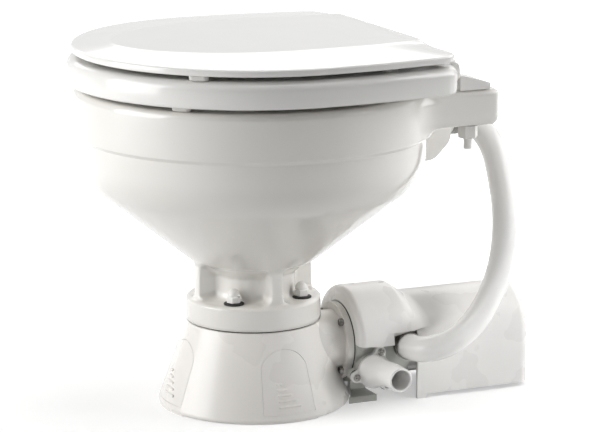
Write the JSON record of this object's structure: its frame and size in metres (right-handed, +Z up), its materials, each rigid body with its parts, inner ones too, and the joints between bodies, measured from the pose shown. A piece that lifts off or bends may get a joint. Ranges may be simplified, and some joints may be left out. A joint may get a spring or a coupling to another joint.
{
  "type": "electric marine toilet",
  "caption": "Compact electric marine toilet: china bowl with seat and lid on a conical base, with a macerator pump, a covered motor and a flush hose behind.",
  "frame": {"origin": "centre of the base's floor circle, between the side floor bolts, at floor level", "axes": "+Z up; -Y towards the bowl's front, where the user faces; +Y towards the hinges, pump and motor; +X towards the discharge port's side"},
  "size_m": [0.344, 0.4372, 0.35],
  "materials": {
    "white_china": "gloss glaze",
    "base_plastic": "satin, off-white",
    "seat_enamel": "gloss white",
    "white_rubber": "satin",
    "hinge_plastic": "gloss white",
    "stainless_steel": "brushed",
    "dark_rubber": "matt",
    "housing_plastic": "satin, pale grey-white",
    "port_plastic": "satin white",
    "cover_plastic": "satin white",
    "hose_vinyl": "satin, opaque white",
    "motor_paint": "gloss white enamel",
    "lamination_steel": "bare",
    "ferrite": "matt",
    "commutator_brass": "bare",
    "carbon": "matt"
  },
  "bodies": {
    "root": {"bowl": "white_china", "base": "base_plastic", "bolt_covers": "base_plastic", "hinge_blocks": "hinge_plastic", "hinge_studs": "hinge_plastic", "hinge_nuts": "hinge_plastic", "bowl_bolt_nuts": "hinge_plastic", "inlet_spud": "hinge_plastic", "bowl_studs": "stainless_steel", "housing_bolts": "stainless_steel", "port_screws": "stainless_steel", "tie_bolts": "stainless_steel", "motor_bolts": "stainless_steel", "cover_screws": "stainless_steel", "hose_clips": "stainless_steel", "bearings": "stainless_steel", "wear_plate": "stainless_steel", "bowl_bolt_washers": "dark_rubber", "hinge_washers": "dark_rubber", "bowl_gasket": "dark_rubber", "housing_seal": "dark_rubber", "port_gasket": "dark_rubber", "shaft_seals": "dark_rubber", "lead_grommet": "dark_rubber", "pump_housing": "housing_plastic", "rinse_pump_body": "housing_plastic", "discharge_port": "port_plastic", "motor_cover": "cover_plastic", "flush_hose": "hose_vinyl", "motor_can": "motor_paint", "motor_end_cap": "motor_paint", "motor_adapter": "motor_paint", "magnets": "ferrite", "brushes": "carbon"},
    "seat": {"seat": "seat_enamel", "seat_bumpers": "white_rubber", "hinge_pins": "stainless_steel"},
    "lid": {"lid": "seat_enamel", "lid_bumpers": "white_rubber"},
    "rotor": {"motor_shaft": "stainless_steel", "armature": "lamination_steel", "commutator": "commutator_brass", "chopper_blade": "stainless_steel", "centrifugal_impeller": "housing_plastic", "rinse_impeller": "dark_rubber"}
  },
  "joints": [
    {"name": "seat_hinge", "type": "hinge", "parent": "root", "child": "seat", "pos_m": [0, 0.151, 0.329], "axis": [-1, 0, 0], "range_deg": [0, 90]},
    {"name": "lid_hinge", "type": "hinge", "parent": "seat", "child": "lid", "pos_m": [0, 0.151, 0.329], "axis": [-1, 0, 0], "range_deg": [0, 75]},
    {"name": "pump_spin", "type": "hinge", "parent": "root", "child": "rotor", "pos_m": [0.022, 0.145, 0.055], "axis": [0, 1, 0], "continuous": true}
  ]
}
